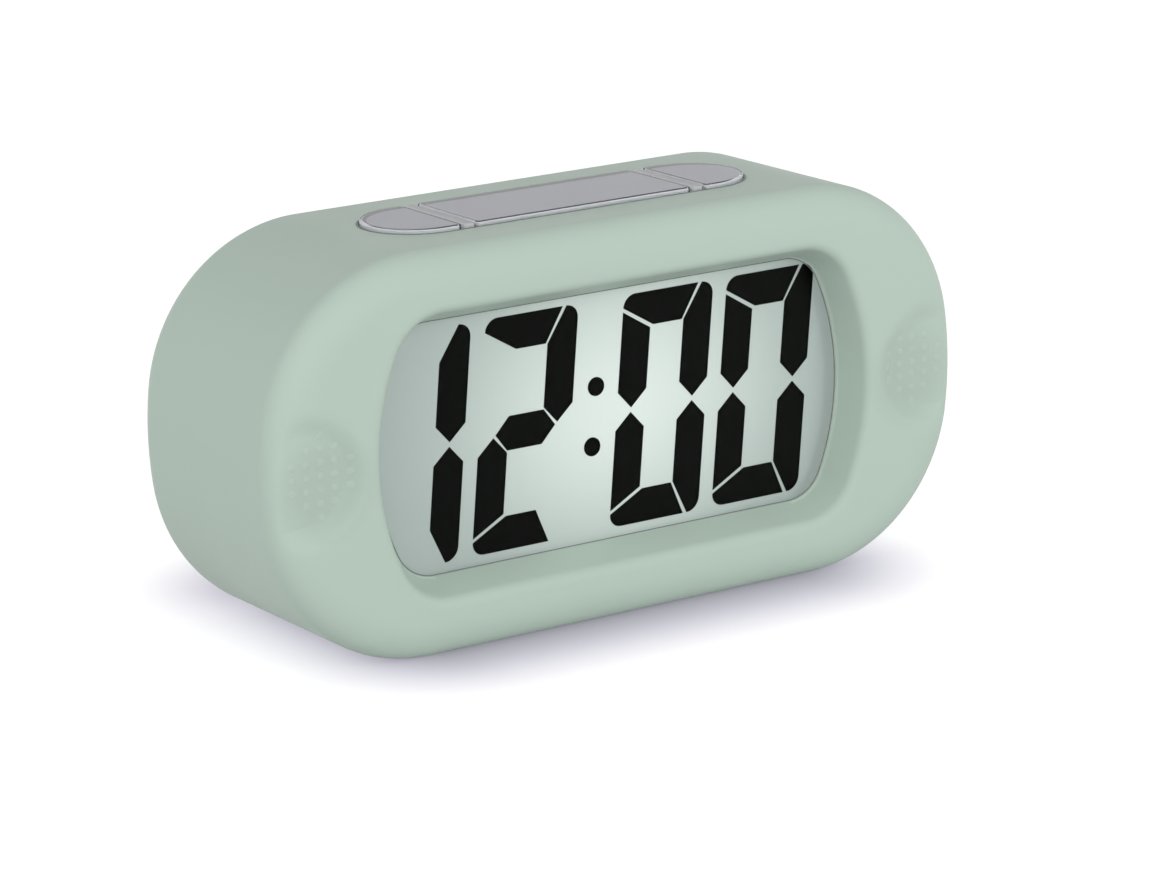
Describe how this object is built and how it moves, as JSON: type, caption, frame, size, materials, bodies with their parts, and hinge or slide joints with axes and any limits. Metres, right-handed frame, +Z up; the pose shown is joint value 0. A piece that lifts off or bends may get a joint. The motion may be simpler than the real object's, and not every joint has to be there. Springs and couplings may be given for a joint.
{
  "type": "digital alarm clock",
  "caption": "Desk alarm clock in a soft silicone sleeve, with a large liquid-crystal display in a bevelled window, clear press keys on top, and controls and a battery door behind.",
  "frame": {"origin": "middle of the clock's footprint, on the surface that it stands on", "axes": "+Z up, the display faces -Y, +X to the right of someone who reads it"},
  "size_m": [0.14, 0.045, 0.07],
  "materials": {
    "mint_silicone": "soft matte silicone, pale mint green",
    "case_plastic": "fine matte moulded plastic, off-white",
    "clear_lens": "clear polished acrylic",
    "lcd_panel": "grey-green display ground, satin",
    "lcd_ink": "near-black liquid-crystal segments",
    "white_plastic": "white moulded plastic",
    "guide_acrylic": "clear acrylic with a frosted back",
    "led_body": "white lamp body with a yellow face",
    "zebra_rubber": "layered conductive rubber",
    "board_laminate": "green circuit-board laminate",
    "screw_steel": "zinc-plated steel",
    "chip_resin": "black moulded resin",
    "crystal_can": "plain drawn can",
    "capacitor_wrap": "dark blue shrink sleeve",
    "switch_plastic": "black moulded plastic",
    "plunger_plastic": "pale moulded plastic",
    "key_plastic": "smoky clear plastic, polished",
    "ribbon_plastic": "flat ribbon cable",
    "button_plastic": "moulded plastic, deeper mint than the sleeve",
    "switch_metal": "tinned sheet steel",
    "basket_metal": "plated pressed steel",
    "cone_paper": "black pressed film",
    "magnet_metal": "nickel-plated magnet",
    "blue_wire": "insulated wire",
    "red_wire": "insulated wire",
    "black_wire": "insulated wire",
    "cell_can": "printed foil jacket, plain",
    "contact_steel": "nickel-plated spring steel"
  },
  "bodies": {
    "clock": {"silicone_sleeve": "mint_silicone", "front_case": "case_plastic", "rear_case": "case_plastic", "case_screws": "screw_steel", "display_lens": "clear_lens", "lcd_glass": "lcd_panel", "lcd_segments": "lcd_ink", "lcd_holder": "white_plastic", "light_guide": "guide_acrylic", "backlight_leds": "led_body", "zebra_strip": "zebra_rubber", "main_board": "board_laminate", "main_board_screws": "screw_steel", "clock_chip": "chip_resin", "quartz_crystal": "crystal_can", "capacitors": "capacitor_wrap", "key_board": "board_laminate", "key_board_screws": "screw_steel", "key_switches": "switch_plastic", "key_dividers": "key_plastic", "key_ribbon": "ribbon_plastic", "control_board": "board_laminate", "control_board_screws": "screw_steel", "control_switches": "switch_plastic", "alarm_switch_body": "switch_metal", "control_ribbon": "ribbon_plastic", "speaker_basket": "basket_metal", "speaker_cone": "cone_paper", "speaker_magnet": "magnet_metal", "speaker_leads": "blue_wire", "upper_cell": "cell_can", "middle_cell": "cell_can", "lower_cell": "cell_can", "contact_springs": "contact_steel", "spring_plates": "contact_steel", "button_plates": "contact_steel", "positive_lead": "red_wire", "negative_lead": "black_wire"},
    "left_key": {"left_key": "key_plastic", "left_plunger": "plunger_plastic"},
    "snooze_key": {"snooze_key": "key_plastic", "snooze_plunger": "plunger_plastic"},
    "right_key": {"right_key": "key_plastic", "right_plunger": "plunger_plastic"},
    "time_button": {"time_button": "button_plastic", "time_plunger": "plunger_plastic"},
    "alarm_button": {"alarm_button": "button_plastic", "alarm_plunger": "plunger_plastic"},
    "alarm_switch": {"alarm_switch_knob": "button_plastic"},
    "battery_door": {"battery_door": "case_plastic"}
  },
  "joints": [
    {"name": "left_key_press", "type": "slide", "parent": "clock", "child": "left_key", "axis": [0, 0, -1], "range_m": [0, 0.0008], "stiffness_N_per_m": 1500},
    {"name": "snooze_key_press", "type": "slide", "parent": "clock", "child": "snooze_key", "axis": [0, 0, -1], "range_m": [0, 0.0008], "stiffness_N_per_m": 1500},
    {"name": "right_key_press", "type": "slide", "parent": "clock", "child": "right_key", "axis": [0, 0, -1], "range_m": [0, 0.0008], "stiffness_N_per_m": 1500},
    {"name": "time_button_press", "type": "slide", "parent": "clock", "child": "time_button", "axis": [0, -1, 0], "range_m": [0, 0.0006], "stiffness_N_per_m": 1500},
    {"name": "alarm_button_press", "type": "slide", "parent": "clock", "child": "alarm_button", "axis": [0, -1, 0], "range_m": [0, 0.0006], "stiffness_N_per_m": 1500},
    {"name": "alarm_switch_slide", "type": "slide", "parent": "clock", "child": "alarm_switch", "axis": [1, 0, 0], "range_m": [0, 0.004]},
    {"name": "battery_door_swing", "type": "hinge", "parent": "clock", "child": "battery_door", "pos_m": [0.015, 0.0202, 0.0177], "axis": [-1, 0, 0], "range_deg": [0, 85]}
  ]
}
